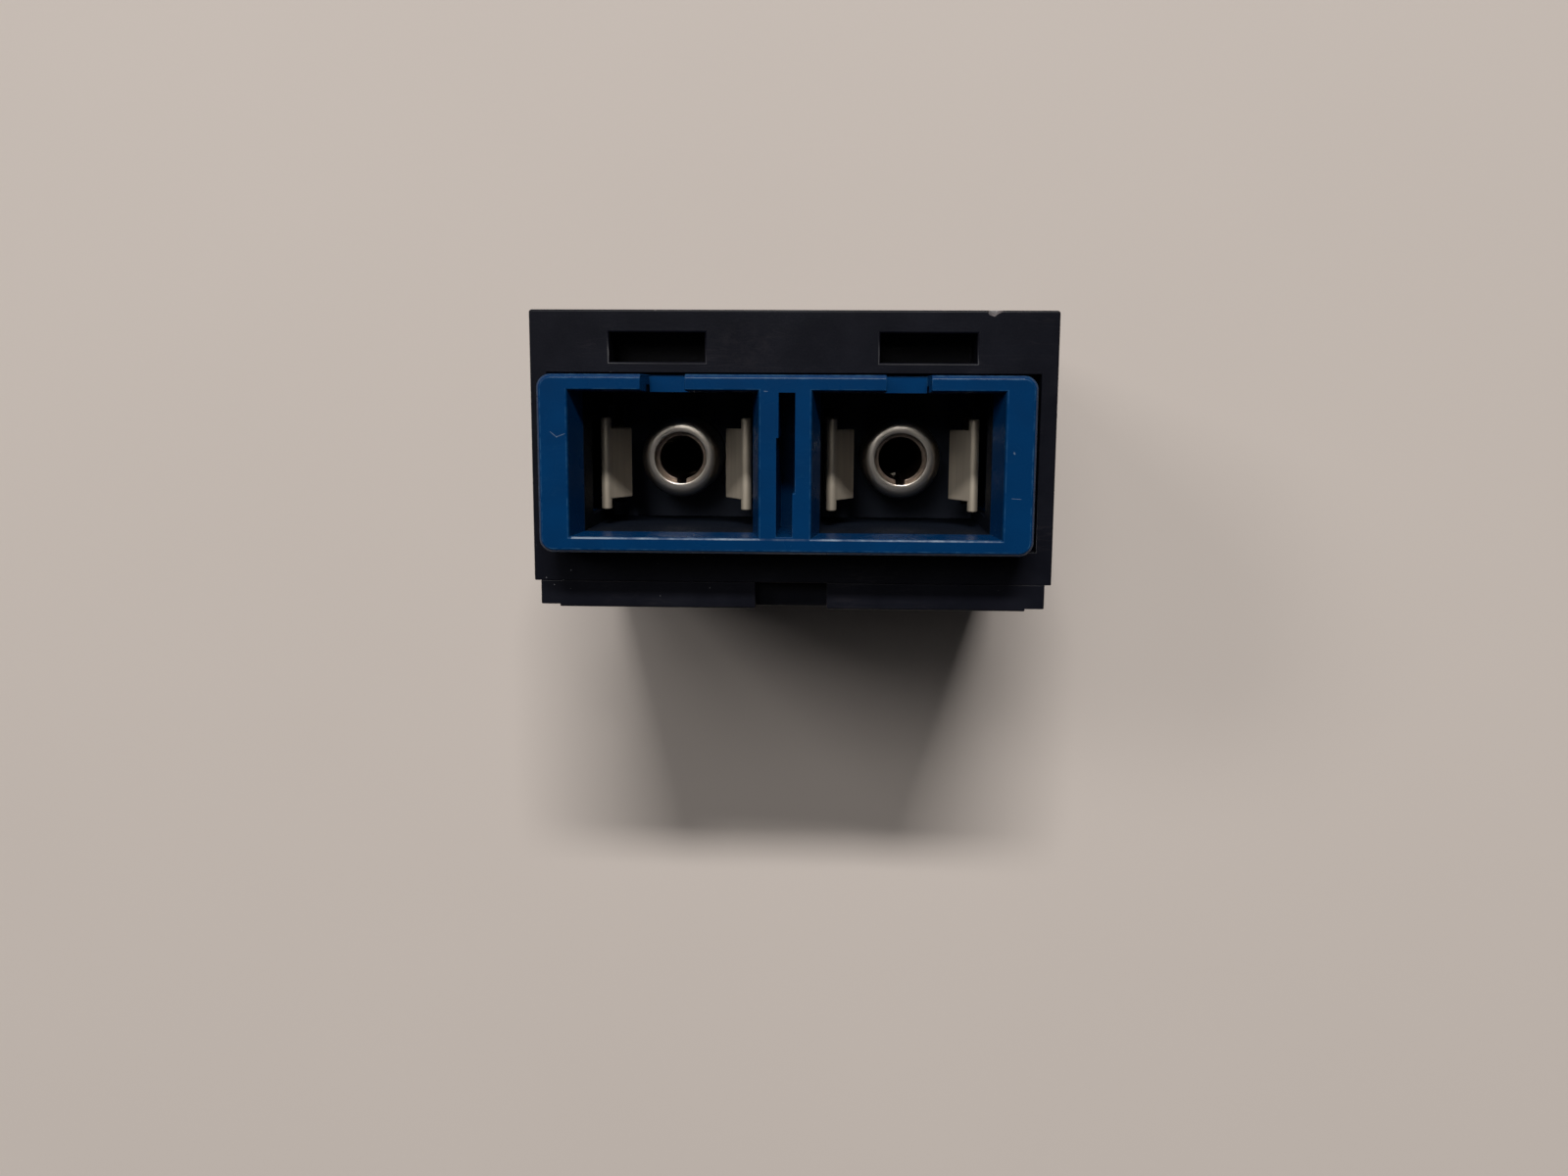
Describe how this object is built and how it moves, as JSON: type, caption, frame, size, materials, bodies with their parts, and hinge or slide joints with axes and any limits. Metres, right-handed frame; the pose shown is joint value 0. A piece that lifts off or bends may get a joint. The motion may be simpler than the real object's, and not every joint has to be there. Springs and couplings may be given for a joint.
{
  "type": "sc fibre adapter module",
  "caption": "Blue pass-through SC duplex fibre adapter in a black snap-in housing, with sprung metal latch hooks and split alignment sleeves inside its ports.",
  "frame": {"origin": "under the housing's centre, on the rear rim that the module stands on", "axes": "+X right and +Y up as the front ports are seen with the key slots on top, +Z out of the front ports"},
  "size_m": [0.0296, 0.0162, 0.0282],
  "materials": {
    "black_plastic": "fine texture",
    "blue_plastic": "satin moulded",
    "dark_plastic": "satin moulded",
    "barrel_nickel": "satin turned",
    "latch_steel": "satin rolled",
    "sleeve_bronze": "satin rolled"
  },
  "bodies": {
    "module": {"housing_shell": "black_plastic", "housing_base": "black_plastic", "adapter_front": "blue_plastic", "adapter_rear": "blue_plastic", "sleeve_left": "sleeve_bronze", "carrier_front_left": "dark_plastic", "liner_front_left": "dark_plastic", "barrel_front_left": "barrel_nickel", "carrier_rear_left": "dark_plastic", "liner_rear_left": "dark_plastic", "barrel_rear_left": "barrel_nickel", "sleeve_right": "sleeve_bronze", "carrier_front_right": "dark_plastic", "liner_front_right": "dark_plastic", "barrel_front_right": "barrel_nickel", "carrier_rear_right": "dark_plastic", "liner_rear_right": "dark_plastic", "barrel_rear_right": "barrel_nickel"},
    "latch_front_left_outer": {"latch_front_left_outer": "latch_steel"},
    "latch_front_left_inner": {"latch_front_left_inner": "latch_steel"},
    "latch_rear_left_outer": {"latch_rear_left_outer": "latch_steel"},
    "latch_rear_left_inner": {"latch_rear_left_inner": "latch_steel"},
    "latch_front_right_outer": {"latch_front_right_outer": "latch_steel"},
    "latch_front_right_inner": {"latch_front_right_inner": "latch_steel"},
    "latch_rear_right_outer": {"latch_rear_right_outer": "latch_steel"},
    "latch_rear_right_inner": {"latch_rear_right_inner": "latch_steel"}
  },
  "joints": [
    {"name": "front_left_outer_flex", "type": "hinge", "parent": "module", "child": "latch_front_left_outer", "pos_m": [-0.01068, -0.00028, 0.01475], "axis": [0, -1, 0], "range_deg": [0, 5], "stiffness_Nm_per_rad": 0.4},
    {"name": "front_left_inner_flex", "type": "hinge", "parent": "module", "child": "latch_front_left_inner", "pos_m": [-0.0025, -0.00028, 0.01475], "axis": [0, 1, 0], "range_deg": [0, 5], "stiffness_Nm_per_rad": 0.4},
    {"name": "rear_left_outer_flex", "type": "hinge", "parent": "module", "child": "latch_rear_left_outer", "pos_m": [-0.01068, -0.00028, 0.01365], "axis": [0, 1, 0], "range_deg": [0, 5], "stiffness_Nm_per_rad": 0.4},
    {"name": "rear_left_inner_flex", "type": "hinge", "parent": "module", "child": "latch_rear_left_inner", "pos_m": [-0.0025, -0.00028, 0.01365], "axis": [0, -1, 0], "range_deg": [0, 5], "stiffness_Nm_per_rad": 0.4},
    {"name": "front_right_outer_flex", "type": "hinge", "parent": "module", "child": "latch_front_right_outer", "pos_m": [0.0102, -0.00028, 0.01475], "axis": [0, 1, 0], "range_deg": [0, 5], "stiffness_Nm_per_rad": 0.4},
    {"name": "front_right_inner_flex", "type": "hinge", "parent": "module", "child": "latch_front_right_inner", "pos_m": [0.00202, -0.00028, 0.01475], "axis": [0, -1, 0], "range_deg": [0, 5], "stiffness_Nm_per_rad": 0.4},
    {"name": "rear_right_outer_flex", "type": "hinge", "parent": "module", "child": "latch_rear_right_outer", "pos_m": [0.0102, -0.00028, 0.01365], "axis": [0, -1, 0], "range_deg": [0, 5], "stiffness_Nm_per_rad": 0.4},
    {"name": "rear_right_inner_flex", "type": "hinge", "parent": "module", "child": "latch_rear_right_inner", "pos_m": [0.00202, -0.00028, 0.01365], "axis": [0, 1, 0], "range_deg": [0, 5], "stiffness_Nm_per_rad": 0.4}
  ]
}
